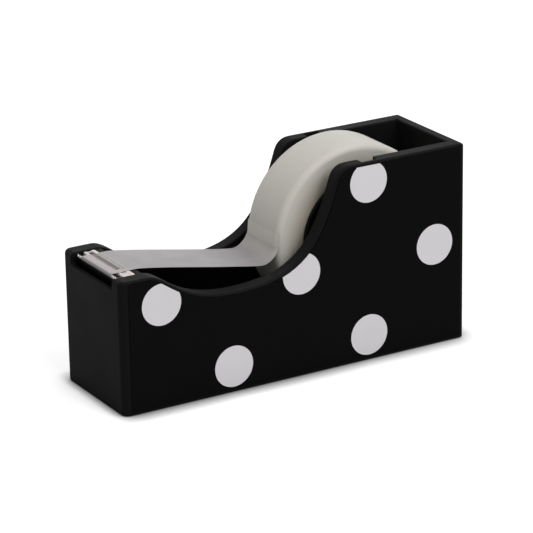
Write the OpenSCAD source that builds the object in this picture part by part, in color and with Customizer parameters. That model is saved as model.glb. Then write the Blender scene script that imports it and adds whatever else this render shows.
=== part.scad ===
// Weighted desktop tape dispenser.
// A thick-walled moulded housing sweeps down from a tall roll well, through a low
// waist, to a landing that carries a toothed cutter. The tape roll sits on a
// two-part hub, whose axle drops into slots that are open at the top of the walls.
// Millimetres. X runs from the cutter (-X) to the tall end (+X), Y across, Z up.
// The origin is on the standing surface, midway along the housing.

/* [Housing] */
// Length from the front face to the rear face
body_l = 123; // [122:0.5:130]
// Width over the two side films
body_w = 38.3; // [38:0.1:44]
// Height of the tall rear end above the standing surface
rear_h = 65.2; // [64:0.1:70]
// Height of the landing above the cutter
front_h = 43; // [42.6:0.1:45]
// Rounding of the two upright corners at the front
corner_r = 2.4; // [1.5:0.1:3]
// Rounding of the two upright corners at the rear
rear_corner_r = 1.2; // [0.8:0.1:3]
// Rounding of the outline's own corners, seen from the side
outline_r = 1.5; // [1.4:0.1:2.5]
// Thickness of the rear wall at the roll well
rear_wall = 3.7; // [3:0.1:5]
// Thickness of the walls and ceiling round the ballast chamber
shell_t = 2.4; // [2:0.1:3]

/* [Side profile] */
// Length of the level landing at the front
landing_l = 9.5; // [8:0.5:12]
// Place of the lowest point of the waist, from the front face
waist_x = 40; // [38:0.5:44]
// Height of the waist
waist_h = 32.6; // [30:0.1:35]
// Place where the sweep meets the rounded shoulder, from the front face
shoulder_x = 75.5; // [73:0.1:78]
// Drop from the top to the start of the shoulder
shoulder_drop = 4.2; // [3:0.1:6]
// Steepness of the sweep at the shoulder, in degrees
shoulder_slope = 72; // [65:1:80]
// Length of the rounded shoulder
shoulder_l = 5.8; // [4:0.1:8]

/* [Wells] */
// Clear width of the roll well
well_w = 28.2; // [27:0.1:30]
// Clear width of the front cavity
cavity_w = 27; // [25:0.1:28]
// Place of the step between front cavity and roll well, from the front face
step_x = 50.8; // [48:0.1:54]
// Height of the cavity floor
deck_h = 17; // [14:0.5:20]
// Gap between the roll and the round bottom of the well
roll_gap = 1.9; // [1.2:0.1:3]
// Rounding along the foot of the cavity's front wall
deck_fillet = 4; // [2:0.5:6]
// Height of the roll well's lowest point above the standing surface
well_h = 8.4; // [8:0.1:10]

/* [Tape] */
// Width of the tape
tape_w = 19; // [18:0.5:19.5]
// Outer radius of the full roll
roll_r = 28.9; // [26:0.1:29]
// Outer radius of the core
core_r = 14; // [13.5:0.1:15]
// Inner radius of the core
core_bore_r = 12.7; // [12.6:0.1:13]
// Softening of the roll's edges
roll_edge_r = 1; // [0.3:0.1:1.5]
// Thickness of the free strip
strip_t = 0.2; // [0.15:0.05:0.3]
// Lowest height of the free strip, just before the roll
strip_low_h = 35.1; // [34:0.1:37]
// Radius of the bend where the strip peels off the roll
peel_r = 5; // [4:0.5:7]

/* [Hub and axle] */
// Radius of the axle pin
axle_r = 2.7; // [2.4:0.1:3]
// Depth of the axle slots in the walls
slot_d = 3.4; // [2.8:0.1:3.6]
// Flare of the slots' mouths, towards the roll
slot_flare = 0.8; // [0.4:0.1:1]
// Radius of the hub's two flanges
flange_r = 19.6; // [16:0.1:21]
// Thickness of a flange
flange_t = 1.2; // [1:0.1:1.5]
// Number of spokes in the hub
spokes = 6; // [4:1:8]
// Thickness of a spoke
spoke_t = 1.3; // [1:0.1:1.8]
// Radius of the round windows between the spokes
window_r = 2.1; // [1.5:0.1:2.2]
// Wall of the hub's barrel
barrel_t = 1.4; // [1.2:0.1:1.6]
// Wall of the boss round the axle
sleeve_t = 1.7; // [1.4:0.1:2]
// Length of the cap's spigot in the barrel
spigot_l = 5.5; // [4:0.5:7]
// Wall of the cap's spigot
spigot_t = 1.2; // [1:0.1:1.4]

/* [Cutter] */
// Thickness of the front lip below the cutter
lip_t = 1.6; // [1.2:0.1:1.8]
// Height of the front lip
lip_h = 39; // [38:0.1:40]
// Rounding of the corners of the opening above the lip
lip_corner_r = 1; // [0.6:0.1:1.5]
// Length of the cutter seat behind the lip
seat_l = 7; // [6.8:0.1:7.5]
// Height of the cutter seat's floor
seat_h = 36; // [35:0.1:36.5]
// Thickness of the rib behind the cutter seat
rib_t = 1.7; // [1.4:0.1:2.5]
// Thickness of the blade's sheet
blade_t = 0.6; // [0.4:0.05:0.8]
// Height of the tooth tips below the landing
tip_drop = 0.4; // [0.3:0.1:0.8]
// Forward lean of the blade, in degrees
blade_lean = 13; // [8:1:16]
// Radius of the fold at the blade's foot
fold_r = 0.6; // [0.5:0.1:0.8]
// Distance from tooth to tooth
tooth_pitch = 1.1; // [0.9:0.1:1.6]
// Depth of a tooth
tooth_d = 0.8; // [0.5:0.1:1]
// Length of the tape rest along X
rest_l = 4.2; // [4:0.1:4.4]
// Width of the groove along the tape rest
groove_w = 1.7; // [1.2:0.1:1.9]
// Depth of the groove
groove_d = 1.3; // [0.8:0.1:2]
// Width of the tape rest's front edge, before the groove
groove_land = 0.9; // [0.8:0.1:1.2]
// Rounding of the tape rest's long edges
rest_nose_r = 0.6; // [0.4:0.1:0.8]
// Radius of the tape rest's two pegs
peg_r = 1.1; // [0.9:0.1:1.2]
// Length of a peg below the cutter seat
peg_l = 4; // [3:0.5:5]
// Distance from the tape rest's end to a peg
peg_inset = 4.4; // [4:0.1:6]

/* [Base] */
// Height of the housing's lower edge above the standing surface
foot_gap = 0.3; // [0.2:0.1:1]
// Radius of a foot
foot_r = 4.9; // [4:0.1:5.2]
// Depth of a foot's recess
foot_sink = 1.2; // [1:0.1:1.4]
// Thickness of the base cover
cover_t = 2; // [1.8:0.1:2.4]
// Margin of housing round the base cover
cover_rim = 1.65; // [1.4:0.05:1.8]
// Radius of a cover screw's shank
screw_r = 1.2; // [1:0.1:1.3]
// Length of a cover screw
screw_l = 9; // [7:0.5:12]
// Radius of a screw boss
boss_r = 3; // [2.6:0.1:3.2]
// Gap between the ballast and the screw bosses
ballast_gap = 2; // [1:0.1:4]
// Distance from the housing's ends to the screws
screw_inset_x = 6.5; // [6:0.1:7]
// Distance from the housing's sides to the screws
screw_inset_y = 6.9; // [6.5:0.1:7.5]
// Distance from a screw to the foot next to it
foot_step = 9; // [8.5:0.5:14]
// Distance from the housing's sides to the middle of a foot
foot_inset_y = 8.4; // [8:0.1:9]

/* [Side films] */
// Thickness of a side film
film_t = 0.25; // [0.2:0.05:0.4]
// Margin of bare housing round a film
film_margin = 1; // [0.8:0.1:1.2]
// Radius of a dot
dot_r = 6.7; // [4:0.1:8]
// Place of the first upper dot, from the front face
dot_x = 13.6; // [8:0.1:20]
// Height of the lowest row of dots
dot_h = 8.6; // [8.5:0.1:12]
// Spacing of the staggered columns
dot_pitch_x = 24.5; // [20:0.1:30]
// Spacing of the rows
dot_pitch_z = 25.2; // [20:0.1:30]

/* [Hidden] */

$fn = 72;
eps = 0.01;
seat_gap = 0.1;              // clearance of a piece that drops into a seat
run_gap = 0.05;              // radial clearance of a turning fit
free_gap = 0.3;              // gap between parts that must never rub
past = 5;                    // how far a cut runs past the surface it opens
bevel = 0.5;                 // chamfer at a turned end
well_fn = 144;               // facets of a large round form
hole_fn = 32;                // facets of a small one

housing_w = body_w - 2 * film_t;
well_r = roll_r + roll_gap;
axle_x = body_l - rear_wall - well_r;
axle_h = well_h + well_r;
cover_top = foot_gap + cover_t;
chamber_w = housing_w - 2 * shell_t;

// The sweep's handles: how long each curve keeps its end's direction
landing_ease = 6.5;
waist_ease_front = 20.5;
waist_ease_rear = 22.5;
shoulder_ease = 20.5;
round_share = 0.52;          // handle of a quarter-like curve, as a share of its length

// The free strip's handles, and how far it follows the roll above the bend
strip_ease_front = 4;
strip_ease_rear = 5;
strip_wrap = 15;

// ---- Helpers -------------------------------------------------------------

// Puts what is drawn from the front face into the part's frame
module framed() translate([-body_l / 2, 0, 0]) children();

// Draws a side view, x along and y up, and gives it the width w
module across(w) rotate([90, 0, 0]) linear_extrude(w, center = true) children();

// Draws along the axle, with local +Z along +Y
module on_axle() framed() translate([axle_x, 0, axle_h]) rotate([-90, 0, 0]) children();

// A rectangle with round corners, from corner a to corner b
module round_rect(a, b, r) {
    translate([a.x + r, a.y]) square([b.x - a.x - 2 * r, b.y - a.y]);
    translate([a.x, a.y + r]) square([b.x - a.x, b.y - a.y - 2 * r]);
    for (x = [a.x + r, b.x - r], y = [a.y + r, b.y - r]) translate([x, y]) circle(r);
}

// A ring along local Z, from z0 to z1
module ring(r_in, r_out, z0, z1)
    translate([0, 0, z0]) difference() {
        cylinder(r = r_out, h = z1 - z0);
        translate([0, 0, -eps]) cylinder(r = r_in, h = z1 - z0 + 2 * eps);
    }

function heading(a) = [cos(a), sin(a)];

function arc_points(c, r, a0, a1, n) = [for (i = [0:n]) c + r * heading(a0 + (a1 - a0) * i / n)];

function curve(a, b, c, d, n) = [for (i = [0:n]) let (t = i / n, s = 1 - t)
    s * s * s * a + 3 * s * s * t * b + 3 * s * t * t * c + t * t * t * d];

function side_normal(a, b) = let (v = (b - a) / norm(b - a)) [-v.y, v.x];

// Moves a closed outline inwards by d, each corner along its mitre
function inset(pts, d) = let (n = len(pts)) [for (i = [0:n - 1])
    let (u = side_normal(pts[(i + n - 1) % n], pts[i]), v = side_normal(pts[i], pts[(i + 1) % n]))
    pts[i] + d * (u + v) / (1 + u * v)];

// Moves an open path sideways by d
function beside(pts, d) = let (n = len(pts)) [for (i = [0:n - 1])
    pts[i] + d * side_normal(pts[max(i - 1, 0)], pts[min(i + 1, n - 1)])];

// The two sides of an open path, as one closed outline of thickness t
function thick(pts, t) = let (n = len(pts), front = beside(pts, t / 2), back = beside(pts, -t / 2))
    concat(front, [for (i = [1:n]) back[n - i]]);

// A round hole or pin of one of the small sizes
module small_rod(r, h) cylinder(r = r, h = h, $fn = hole_fn);

// ---- Side outline --------------------------------------------------------

shoulder = [shoulder_x, rear_h - shoulder_drop];
sweep_back = concat(
    curve([shoulder.x + shoulder_l, rear_h], [shoulder.x + (1 - round_share) * shoulder_l, rear_h],
        shoulder + round_share * shoulder_l * heading(shoulder_slope), shoulder, 8),
    curve(shoulder, shoulder - shoulder_ease * heading(shoulder_slope),
        [waist_x + waist_ease_rear, waist_h], [waist_x, waist_h], 18),
    curve([waist_x, waist_h], [waist_x - waist_ease_front, waist_h],
        [landing_l + landing_ease, front_h], [landing_l, front_h], 18));

function no_repeats(pts) = [for (i = [0:len(pts) - 1])
    if (i == 0 || norm(pts[i] - pts[i - 1]) > eps) pts[i]];

outline = no_repeats(concat(
    arc_points([outline_r, foot_gap + outline_r], outline_r, 180, 270, 4),
    arc_points([body_l - outline_r, foot_gap + outline_r], outline_r, 270, 360, 4),
    arc_points([body_l - outline_r, rear_h - outline_r], outline_r, 0, 90, 4),
    sweep_back,
    arc_points([outline_r, front_h - outline_r], outline_r, 90, 180, 4)));

// ---- Housing -------------------------------------------------------------

boss_x = [screw_inset_x, body_l - screw_inset_x];
boss_y = (housing_w / 2 - screw_inset_y) * [-1, 1];
boss_h = axle_h - well_r / 3 - cover_top;
rib_x = lip_t + seat_l + rib_t;                // where the cavity starts

module roll_well_2d() {
    translate([axle_x, axle_h]) circle(well_r, $fn = well_fn);
    translate([step_x, deck_h]) square([axle_x - step_x, rear_h]);
    translate([axle_x - well_r, axle_h]) square([2 * well_r, rear_h]);
}

module cavity_2d() difference() {
    translate([rib_x, deck_h]) square([step_x + eps - rib_x, rear_h]);
    translate([rib_x, deck_h]) difference() {
        translate([-eps, -eps]) square(deck_fillet);
        translate([deck_fillet, deck_fillet]) circle(deck_fillet);
    }
}

// Ballast chamber under the wells, open at the bottom. It keeps an even wall
// below the deck and round the well, and runs up behind the front face.
module chamber_2d() difference() {
    translate([shell_t, foot_gap]) {
        square([body_l - 2 * shell_t, deck_h - shell_t - foot_gap]);
        square([rib_x - 2 * shell_t, seat_h - shell_t - foot_gap]);
        translate([axle_x - shell_t, 0]) square([body_l - shell_t - axle_x, cover_top + boss_h - foot_gap]);
    }
    translate([axle_x, axle_h]) circle(well_r + shell_t, $fn = well_fn);
}

module axle_slot_2d() {
    r = axle_r + seat_gap;
    translate([axle_x, axle_h]) circle(r);
    translate([axle_x - r, axle_h]) square([2 * r, rear_h]);
}

// The mouths of the slots open out towards the roll, seen from above
module slot_mouths_2d() {
    r = axle_r + seat_gap;
    half = well_w / 2;
    for (side = [-1, 1]) scale([1, side]) polygon([[-r - slot_flare - eps, half - eps],
        [r + slot_flare + eps, half - eps], [r, half + slot_flare], [-r, half + slot_flare]]);
}

module cutter_seat_2d() {
    translate([lip_t, seat_h]) square([seat_l, past + front_h - seat_h]);
    translate([lip_t + seat_l - eps, front_h - free_gap]) square([landing_l, past]);
}

// The opening above the lip, seen from the front
module lip_opening_2d() round_rect([-cavity_w / 2, lip_h], [cavity_w / 2, front_h + past], lip_corner_r);

// What the outside keeps of a plan margin m, with its corners rounded to match
module plan_2d(m) {
    half = housing_w / 2;
    middle = body_l / 2;
    round_rect([m, m - half], [middle + past, half - m], max(corner_r - m / 2, bevel));
    round_rect([middle - past, m - half], [body_l - m, half - m], max(rear_corner_r - m / 2, bevel));
}

module housing() color([0.09, 0.09, 0.09]) framed() difference() {
    union() {
        difference() {
            intersection() {
                across(housing_w) polygon(outline);
                linear_extrude(rear_h + past) plan_2d(0);
            }
            across(chamber_w) chamber_2d();
        }
        for (x = boss_x, y = boss_y) translate([x, y, cover_top]) cylinder(r = boss_r, h = boss_h);
    }
    across(well_w) roll_well_2d();
    across(cavity_w) cavity_2d();
    across(well_w + 2 * slot_d) axle_slot_2d();
    translate([axle_x, 0, axle_h]) linear_extrude(rear_h) slot_mouths_2d();
    across(cavity_w) cutter_seat_2d();
    translate([-past, 0, 0]) rotate([90, 0, 90]) linear_extrude(past + lip_t + eps) lip_opening_2d();
    translate([0, 0, foot_gap - past]) linear_extrude(past + cover_t) plan_2d(cover_rim);
    for (x = boss_x, y = boss_y) translate([x, y, foot_gap]) small_rod(screw_r + run_gap, screw_l + 1);
    for (y = peg_y) translate([peg_x, y, seat_h - peg_l]) small_rod(peg_r + run_gap, peg_l + eps);
}

// ---- Side films ----------------------------------------------------------

film_x0 = corner_r + 2 * seat_gap;            // films end just short of the round corners
film_x1 = body_l - rear_corner_r - bevel;

module film_2d() intersection() {
    polygon(inset(outline, film_margin));
    translate([film_x0, 0]) square([film_x1 - film_x0, rear_h]);
}

// The staggered dots, left out of every other place of an even grid
module dot_discs() for (i = [-1:6], j = [0:2]) if ((i + j + 8) % 2 == 1)
    translate([dot_x + i * dot_pitch_x, dot_h + j * dot_pitch_z]) circle(dot_r);

// side is -1 for the left film and 1 for the right one
module on_side(side) framed() translate([0, side * (housing_w + film_t) / 2, 0]) across(film_t) children();

module film(side) color([0.05, 0.05, 0.05]) on_side(side) difference() {
    film_2d();
    dot_discs();
}

module dots(side) color([0.86, 0.85, 0.87]) on_side(side) intersection() {
    film_2d();
    dot_discs();
}

module side_film_left() film(-1);
module side_film_right() film(1);
module dots_left() dots(-1);
module dots_right() dots(1);

// ---- Cutter --------------------------------------------------------------

rest_x1 = lip_t + seat_l - seat_gap;
rest_x0 = rest_x1 - rest_l;
rest_w = cavity_w - 2 * seat_gap;
tip_h = front_h - tip_drop;
rest_h = front_h - tip_drop / 2;
peg_x = (rest_x0 + rest_x1) / 2;
peg_y = (rest_w / 2 - peg_inset) * [-1, 1];

// What n teeth along X leave open above their roots, with the tips d above these
function open_row(n, pitch, d) = let (half = n * pitch / 2) concat(
    [[-half - past, 0]], [for (i = [0:2 * n]) [i * pitch / 2 - half, i % 2 == 0 ? 0 : d]],
    [[half + past, 0], [half + past, d + past], [-half - past, d + past]]);

// A sheet folded round the foot of the tape rest. It leans forward to its teeth.
module cutter_blade() {
    middle_h = seat_h + blade_t / 2;
    root_h = tip_h - tooth_d * cos(blade_lean);
    heel_x = lip_t + seat_gap + blade_t / 2 + (tip_h - seat_h) * tan(blade_lean);
    lean_x = function (h) heel_x - (h - middle_h) * tan(blade_lean);
    fold = [heel_x + fold_r * tan((90 - blade_lean) / 2), middle_h + fold_r];
    sheet = concat([[rest_x1, middle_h]], arc_points(fold, fold_r, -90, blade_lean - 180, 6),
        [[lean_x(front_h), front_h]]);
    color([0.78, 0.77, 0.75]) framed() difference() {
        across(rest_w) polygon(thick(sheet, blade_t));
        translate([lean_x(root_h), 0, root_h]) rotate([0, -blade_lean, 0]) rotate([90, 0, 90])
            linear_extrude(past, center = true)
                polygon(open_row(floor(rest_w / tooth_pitch), tooth_pitch, tooth_d));
        for (y = peg_y) translate([peg_x, y, seat_h - past]) small_rod(peg_r + seat_gap, 2 * past);
    }
}

// Bar that the cut end of the tape sticks to, with a groove for a fingernail
module tape_rest() {
    bottom = seat_h + blade_t;
    color([0.8, 0.77, 0.76]) framed() {
        intersection() {
            across(rest_w) difference() {
                round_rect([rest_x0, bottom], [rest_x1, rest_h], rest_nose_r);
                translate([rest_x0 + groove_land, rest_h - groove_d]) square([groove_w, past]);
            }
            linear_extrude(front_h) round_rect([rest_x0, -rest_w / 2], [rest_x1, rest_w / 2], rest_nose_r);
        }
        for (y = peg_y) translate([peg_x, y, seat_h - peg_l + seat_gap])
            small_rod(peg_r, bottom - seat_h + peg_l);
    }
}

// ---- Base ----------------------------------------------------------------

foot_x = [boss_x[0] + foot_step, boss_x[1] - foot_step];
foot_y = (housing_w / 2 - foot_inset_y) * [-1, 1];
head_r = 2 * screw_r;                         // radius of a countersunk head
head_h = head_r - screw_r;                    // height of its 90 degree cone
drive_w = screw_r / 3;                        // width of the crossed recess
drive_d = screw_r / 2;                        // depth of the crossed recess

module ballast() {
    margin = boss_r + ballast_gap;
    color([0.3, 0.3, 0.31]) framed() across(chamber_w - 2 * free_gap) difference() {
        intersection() {
            translate([boss_x[0] + margin, cover_top]) square([boss_x[1] - boss_x[0] - 2 * margin, rear_h]);
            translate([0, -free_gap]) chamber_2d();
        }
        translate([axle_x, axle_h]) circle(well_r + shell_t + free_gap, $fn = well_fn);
    }
}

module base_cover() color([0.07, 0.07, 0.07]) framed() difference() {
    translate([0, 0, foot_gap]) linear_extrude(cover_t) plan_2d(cover_rim + seat_gap);
    for (x = boss_x, y = boss_y) translate([x, y, foot_gap - eps]) {
        small_rod(screw_r + 2 * seat_gap, cover_t + 2 * eps);
        cylinder(r1 = head_r + seat_gap, r2 = screw_r + seat_gap, h = head_h + eps, $fn = hole_fn);
    }
    for (x = foot_x, y = foot_y) translate([x, y, foot_gap - eps])
        cylinder(r = foot_r + seat_gap, h = foot_sink + eps);
}

// Countersunk screws with a crossed recess
module cover_screws() color([0.6, 0.6, 0.62]) framed()
    for (x = boss_x, y = boss_y) translate([x, y, foot_gap]) difference() {
        union() {
            cylinder(r1 = head_r, r2 = screw_r, h = head_h, $fn = hole_fn);
            small_rod(screw_r, screw_l);
        }
        for (a = [0, 90]) rotate(a) translate([-screw_r, -drive_w / 2, -eps])
            cube([2 * screw_r, drive_w, drive_d]);
    }

module foot(x, y) color([0.12, 0.12, 0.12]) framed() translate([x, y, 0]) {
    cylinder(r1 = foot_r - foot_gap * 2 / 3, r2 = foot_r, h = foot_gap);
    translate([0, 0, foot_gap]) cylinder(r = foot_r, h = foot_sink);
}

module foot_front_left() foot(foot_x[0], foot_y[0]);
module foot_front_right() foot(foot_x[0], foot_y[1]);
module foot_rear_left() foot(foot_x[1], foot_y[0]);
module foot_rear_right() foot(foot_x[1], foot_y[1]);

// ---- Axle and hub --------------------------------------------------------

barrel_r = core_bore_r - 2 * seat_gap;
sleeve_r = axle_r + sleeve_t;
face_z = tape_w / 2 + seat_gap;               // inner face of a flange
back_z = face_z + flange_t;                   // outer face of a flange
nose_z = well_w / 2 - free_gap;               // end of the hub beside the wall
barrel_end = face_z - free_gap;               // end of the barrel, short of the cap
spoke_l = barrel_r - barrel_t / 2 - sleeve_r + sleeve_t / 2;
window_x = (sleeve_r + barrel_r - barrel_t) / 2;

module axle_pin() {
    half = well_w / 2 + slot_d - seat_gap;
    color([0.55, 0.56, 0.58]) on_axle() rotate_extrude()
        polygon([[0, -half], [axle_r - bevel, -half], [axle_r, bevel - half],
            [axle_r, half - bevel], [axle_r - bevel, half], [0, half]]);
}

module flange(z0) {
    edge = flange_t / 4;
    translate([0, 0, z0]) rotate_extrude($fn = well_fn)
        polygon([[0, 0], [flange_r - edge, 0], [flange_r, edge], [flange_r, flange_t - edge],
            [flange_r - edge, flange_t], [0, flange_t]]);
}

module hub_wheel() color([0.06, 0.06, 0.06]) on_axle() difference() {
    union() {
        flange(-back_z);
        ring(barrel_r - barrel_t, barrel_r, -face_z - eps, barrel_end);
        translate([0, 0, -nose_z]) cylinder(r = sleeve_r, h = nose_z + barrel_end);
        for (i = [0:spokes - 1]) rotate(i * 360 / spokes)
            translate([sleeve_r - sleeve_t / 2, -spoke_t / 2, -face_z - eps])
                cube([spoke_l, spoke_t, face_z + barrel_end - spigot_l]);
    }
    translate([0, 0, -nose_z - eps]) cylinder(r = axle_r + run_gap, h = 2 * nose_z);
    for (i = [0:spokes - 1]) rotate((i + 0.5) * 360 / spokes) translate([window_x, 0, -back_z - eps])
        small_rod(window_r, flange_t + 2 * eps);
}

module hub_cap() color([0.06, 0.06, 0.06]) on_axle() difference() {
    plug_r = barrel_r - barrel_t - seat_gap;
    union() {
        flange(face_z);
        ring(plug_r - spigot_t, plug_r, face_z - spigot_l + free_gap, face_z + eps);
        translate([0, 0, face_z]) cylinder(r = sleeve_r, h = nose_z - face_z);
    }
    translate([0, 0, face_z - eps]) cylinder(r = axle_r + run_gap, h = nose_z);
}

// ---- Tape ----------------------------------------------------------------

module tape_core() color([0.75, 0.72, 0.66]) on_axle() ring(core_bore_r, core_r, -tape_w / 2, tape_w / 2);

module tape_roll() {
    r_in = core_r + run_gap;
    half = tape_w / 2;
    color([0.78, 0.76, 0.71]) on_axle() rotate_extrude($fn = well_fn)
        polygon(concat([[r_in, half], [r_in, -half]],
            arc_points([roll_r - roll_edge_r, roll_edge_r - half], roll_edge_r, -90, 0, 4),
            arc_points([roll_r - roll_edge_r, half - roll_edge_r], roll_edge_r, 0, 90, 4)));
}

// The free strip leaves the teeth, crosses the rest and the rib, falls to the roll
// and curls up into the last turn, where it peels off. The teeth have left its end
// torn in their own pitch.
module tape_strip() {
    run_r = roll_r + free_gap + strip_t / 2;
    start_h = rest_h + seat_gap + strip_t / 2;
    low_h = strip_low_h + strip_t / 2;
    bend_h = low_h + peel_r;
    dip = asin((bend_h - axle_h) / (run_r + peel_r));
    bend_x = axle_x - (run_r + peel_r) * cos(dip);
    start_x = lip_t - seat_gap - strip_t;
    path = no_repeats(concat([[start_x, start_h]],
        curve([rib_x, start_h], [rib_x + strip_ease_front, start_h],
            [bend_x - strip_ease_rear, low_h], [bend_x, low_h], 16),
        arc_points([bend_x, bend_h], peel_r, -90, -dip, 10),
        arc_points([axle_x, axle_h], run_r, 180 - dip, 180 - strip_wrap - dip, 6)));
    color([0.72, 0.71, 0.7]) framed() difference() {
        across(tape_w) polygon(thick(path, strip_t));
        translate([start_x + tooth_d, 0, start_h - past / 2]) rotate(90) linear_extrude(past)
            polygon(open_row(ceil(tape_w / tooth_pitch), tooth_pitch, tooth_d));
    }
}

housing();
side_film_left();
side_film_right();
dots_left();
dots_right();
cutter_blade();
tape_rest();
ballast();
base_cover();
cover_screws();
foot_front_left();
foot_front_right();
foot_rear_left();
foot_rear_right();
axle_pin();
hub_wheel();
hub_cap();
tape_core();
tape_roll();
tape_strip();
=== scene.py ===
# %% [markdown]
# # A weighted desktop tape dispenser
# The real object is a thick-walled black moulding that holds a roll of clear tape on
# a hub, with a toothed steel cutter at its front and white dots on its two sides.
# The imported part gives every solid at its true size. This lesson dresses it: pieces
# whose shape is already right get a finish, and five pieces get a finer shape.

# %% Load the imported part
import math

import bmesh
import bpy
from mathutils import Matrix, Vector


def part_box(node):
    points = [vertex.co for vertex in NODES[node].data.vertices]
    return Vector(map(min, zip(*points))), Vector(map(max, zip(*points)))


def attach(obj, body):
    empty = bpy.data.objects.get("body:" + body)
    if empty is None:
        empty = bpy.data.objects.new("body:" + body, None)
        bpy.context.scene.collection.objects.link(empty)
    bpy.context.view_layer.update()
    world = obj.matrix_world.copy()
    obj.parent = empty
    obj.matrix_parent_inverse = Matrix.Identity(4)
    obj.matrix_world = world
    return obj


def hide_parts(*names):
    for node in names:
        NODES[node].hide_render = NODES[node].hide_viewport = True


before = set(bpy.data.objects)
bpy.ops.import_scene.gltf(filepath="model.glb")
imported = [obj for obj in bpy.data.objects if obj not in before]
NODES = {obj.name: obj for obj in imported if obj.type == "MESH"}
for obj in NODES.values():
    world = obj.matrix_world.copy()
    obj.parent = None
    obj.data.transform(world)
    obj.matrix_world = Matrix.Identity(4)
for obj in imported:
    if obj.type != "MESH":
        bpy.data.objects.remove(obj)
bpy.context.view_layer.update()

# %% [markdown]
# ## Measures
# A maker works in millimetres from the front face, so this file does too, and one
# helper turns such a point into metres in the part's frame. The sizes are read from
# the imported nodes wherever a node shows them.

# %% Millimetres and places
MM = 0.001


def span(node):
    """The lowest and highest corner of a node, in millimetres."""
    low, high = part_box(node)
    return Vector(low) / MM, Vector(high) / MM


shell_low, shell_high = span("housing")
FRONT = shell_low.x
LENGTH = shell_high.x - shell_low.x
WIDTH = shell_high.y - shell_low.y
REAR_TOP = shell_high.z
BOTTOM = shell_low.z

roll_low, roll_high = span("tape_roll")
ROLL_R = (roll_high.z - roll_low.z) / 2
TAPE_W = roll_high.y - roll_low.y
AXLE_X = (roll_low.x + roll_high.x) / 2 - FRONT
AXLE_Z = (roll_low.z + roll_high.z) / 2


def at(x, y, z):
    """A point in millimetres from the front face, as metres in the frame."""
    return Vector(((x + FRONT) * MM, y * MM, z * MM))


print("housing", round(LENGTH, 2), round(WIDTH, 2), round(REAR_TOP, 2))
print("roll radius", round(ROLL_R, 2), "axle at", round(AXLE_X, 2), round(AXLE_Z, 2))

# %% [markdown]
# ## Making a piece from points and faces
# Most pieces here are worked out point by point. Small helpers turn lists of points
# into an object at the origin, join rings of points into a skin, and bake what
# modifiers make of it.

# %% Mesh helpers
def collection_add(obj):
    bpy.context.scene.collection.objects.link(obj)
    return obj


def piece_from(name, points, faces):
    """A closed or open mesh object, with its faces turned outwards."""
    mesh = bpy.data.meshes.new(name)
    mesh.from_pydata([tuple(p) for p in points], [], faces)
    work = bmesh.new()
    work.from_mesh(mesh)
    bmesh.ops.recalc_face_normals(work, faces=work.faces)
    work.to_mesh(mesh)
    work.free()
    return collection_add(bpy.data.objects.new(name, mesh))


def loft(name, rings, lid=False):
    """Joins equal rings of points into a skin, and closes its ends, by strips if lid is set."""
    n, last = len(rings[0]), len(rings[0]) * (len(rings) - 1)
    faces = [(k + i, k + (i + 1) % n, k + n + (i + 1) % n, k + n + i)
             for k in range(0, last, n) for i in range(n)]
    for end in (0, last):
        if lid:
            faces += [(end + i, end + i + 1, end + n - 2 - i, end + n - 1 - i)
                      for i in range(n // 2 - 1)]
        else:
            faces.append(tuple(range(end, end + n)))
    return piece_from(name, [p for one in rings for p in one], faces)


def bake(obj):
    """Replaces the object's mesh by what its modifiers make of it."""
    bpy.context.view_layer.update()
    ready = obj.evaluated_get(bpy.context.evaluated_depsgraph_get())
    mesh = bpy.data.meshes.new_from_object(ready)
    obj.modifiers.clear()
    obj.data = mesh
    mesh.name = obj.name
    return obj


def smooth(obj, angle=35):
    """Smooth shading, with a hard line only at edges sharper than the angle."""
    for face in obj.data.polygons:
        face.use_smooth = True
    obj.data.set_sharp_from_angle(angle=math.radians(angle))


def report(obj):
    """Prints the size of the mesh, its volume and how many edges are open."""
    work = bmesh.new()
    work.from_mesh(obj.data)
    gaps = sum(1 for e in work.edges if len(e.link_faces) != 2)
    volume = work.calc_volume(signed=True) / MM ** 3
    print(f"{obj.name}: {len(work.faces)} faces, {volume:.0f} mm3, {gaps} open edges")
    work.free()


print("mesh helpers ready")

# %% [markdown]
# ## The housing's side profile
# From the side the housing is a level landing at the cutter, an S curve down to a low
# waist, a steep rise, a round shoulder and a level top. Each stretch is one cubic
# curve with the same handles as the part's source, so that the dressed housing and
# the solid agree.

# %% Profile of the top edge
LANDING = Vector((9.5, 43.0))
WAIST = Vector((40.0, 32.6))
SHOULDER = Vector((75.5, REAR_TOP - 4.2))
SHOULDER_SLOPE = math.radians(72)
SHOULDER_L = 5.8


def curve(a, b, c, d, n):
    """n + 1 points of a cubic curve from a to d with handles b and c."""
    points = []
    for i in range(n + 1):
        t, s = i / n, 1 - i / n
        points.append(s * s * s * a + 3 * s * s * t * b + 3 * s * t * t * c + t * t * t * d)
    return points


def profile_top():
    """(x, height) of the top edge from the landing's end to the rear top."""
    along = Vector((math.cos(SHOULDER_SLOPE), math.sin(SHOULDER_SLOPE)))
    crest = Vector((SHOULDER.x + SHOULDER_L, REAR_TOP))
    front = curve(LANDING, LANDING + Vector((6.5, 0)), WAIST - Vector((20.5, 0)), WAIST, 26)
    rise = curve(WAIST, WAIST + Vector((22.5, 0)), SHOULDER - 20.5 * along, SHOULDER, 30)
    turn = curve(SHOULDER, SHOULDER + 0.52 * SHOULDER_L * along,
                 crest - Vector((0.52 * SHOULDER_L, 0)), crest, 12)
    return front[:-1] + rise[:-1] + turn


def slope_at(points, i):
    a, b = points[max(i - 1, 0)], points[min(i + 1, len(points) - 1)]
    return math.atan2(b.y - a.y, b.x - a.x)


top_line = profile_top()
print("top edge points:", len(top_line), "lowest", round(min(p.y for p in top_line), 2))

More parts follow.
